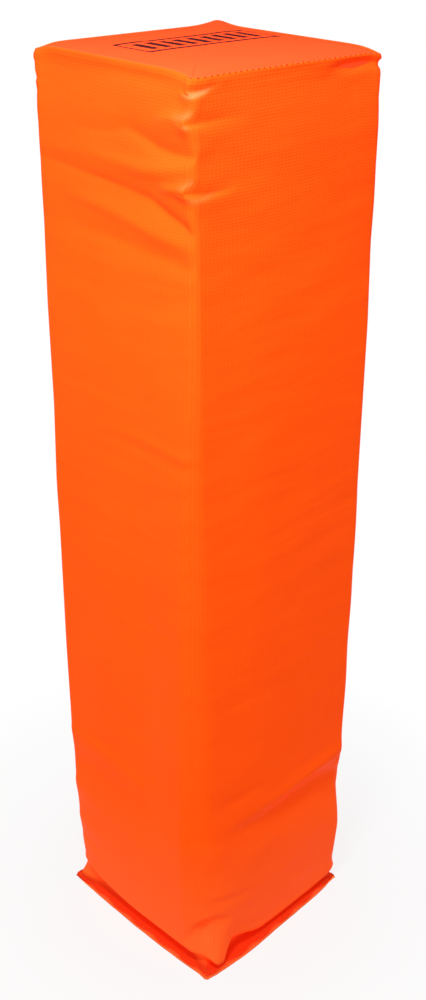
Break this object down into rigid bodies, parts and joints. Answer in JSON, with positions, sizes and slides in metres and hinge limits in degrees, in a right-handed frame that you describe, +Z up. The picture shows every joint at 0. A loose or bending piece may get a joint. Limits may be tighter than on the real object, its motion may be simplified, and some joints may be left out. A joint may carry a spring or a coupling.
{
  "type": "football field pylon",
  "caption": "Soft weighted corner pylon: a square upright foam block in a sewn orange cover, heavy at the base, that stands without an anchor.",
  "frame": {"origin": "middle of the base, on the floor", "axes": "+Z up along the pylon, -Y is the front, and the upright edge that faces the viewer in the picture is at -X -Y"},
  "size_m": [0.1101, 0.111, 0.4571],
  "materials": {
    "coated_cloth": "orange PVC-coated polyester, satin, with a faint scrim grid",
    "foam": "open-cell foam, matt",
    "bag_cloth": "undyed cotton, matt",
    "sand": "dry sand, matt",
    "bag_thread": "plain cotton thread",
    "cover_thread": "orange polyester thread"
  },
  "bodies": {
    "root": {"wall_wrap": "coated_cloth", "top_panel": "coated_cloth", "bottom_panel": "coated_cloth", "foam_core": "foam", "ballast_bag_lower": "bag_cloth", "ballast_bag_upper": "bag_cloth", "ballast_sand": "sand", "ballast_seam_thread": "bag_thread", "base_seam_thread": "cover_thread", "top_seam_thread": "cover_thread", "side_seam_thread": "cover_thread"}
  },
  "joints": []
}
